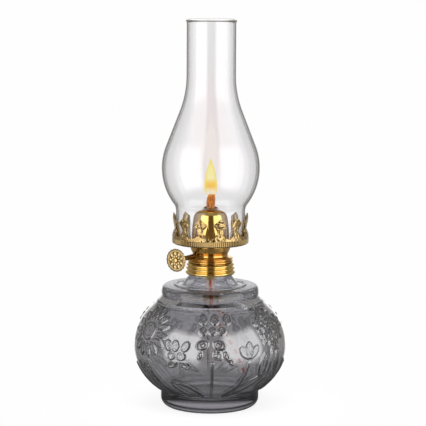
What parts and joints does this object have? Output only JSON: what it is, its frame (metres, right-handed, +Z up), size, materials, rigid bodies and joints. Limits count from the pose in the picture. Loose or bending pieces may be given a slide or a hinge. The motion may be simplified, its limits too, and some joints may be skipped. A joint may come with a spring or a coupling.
{
  "type": "oil lamp",
  "caption": "Table-top oil lamp: pressed-glass reservoir, screw-in brass burner with wick wheel, leaf-pronged gallery and lift-off glass chimney.",
  "frame": {"origin": "middle of the foot's underside, on the lamp's axis", "axes": "+Z up along the lamp's axis; -Y to the front; the wick knob points to the front left, 234 degrees from +X"},
  "size_m": [0.1278, 0.128, 0.32],
  "materials": {
    "smoked_glass": "pressed, with floral relief, clear grey",
    "clear_glass": "polished, blown thin",
    "polished_brass": "bright, lacquered",
    "stamped_brass": "satin, stamped with a leaf pattern",
    "plain_brass": "as rolled, unpolished",
    "steel_wire": "drawn wire",
    "plaster": "matt plaster of Paris",
    "cotton": "braided round cotton"
  },
  "bodies": {
    "font_body": {"font": "smoked_glass", "collar": "polished_brass", "collar_cement": "plaster"},
    "burner": {"screw_skirt": "plain_brass", "base_plate": "plain_brass", "burner_shell": "polished_brass", "wick_tube": "plain_brass", "wheel_bracket": "plain_brass", "spindle_sleeve": "polished_brass", "air_diffuser": "plain_brass", "gallery": "stamped_brass", "dome": "polished_brass"},
    "wick_knob": {"spindle": "steel_wire", "star_wheel_outer": "plain_brass", "star_wheel_inner": "plain_brass", "knob": "stamped_brass", "knob_hub": "stamped_brass", "knob_rivet": "polished_brass"},
    "wick_body": {"wick": "cotton", "wick_tail": "cotton"},
    "chimney_body": {"chimney": "clear_glass"}
  },
  "joints": [
    {"name": "burner_lift", "type": "slide", "parent": "font_body", "child": "burner", "axis": [0, 0, 1], "range_m": [0, 0.12], "deforming": ["wick_tail"]},
    {"name": "knob_turn", "type": "hinge", "parent": "burner", "child": "wick_knob", "pos_m": [-0.00651, 0.00473, 0.1255], "axis": [-0.5878, -0.809, 0], "range_deg": [-150, 50]},
    {"name": "wick_slide", "type": "slide", "parent": "burner", "child": "wick_body", "axis": [0, 0, 1], "range_m": [-0.012, 0.004]},
    {"name": "chimney_lift", "type": "slide", "parent": "burner", "child": "chimney_body", "axis": [0, 0, 1], "range_m": [0, 0.05]}
  ],
  "couplings": [
    {"joint": "wick_slide", "follows": "knob_turn", "m_per_rad": 0.00435}
  ]
}
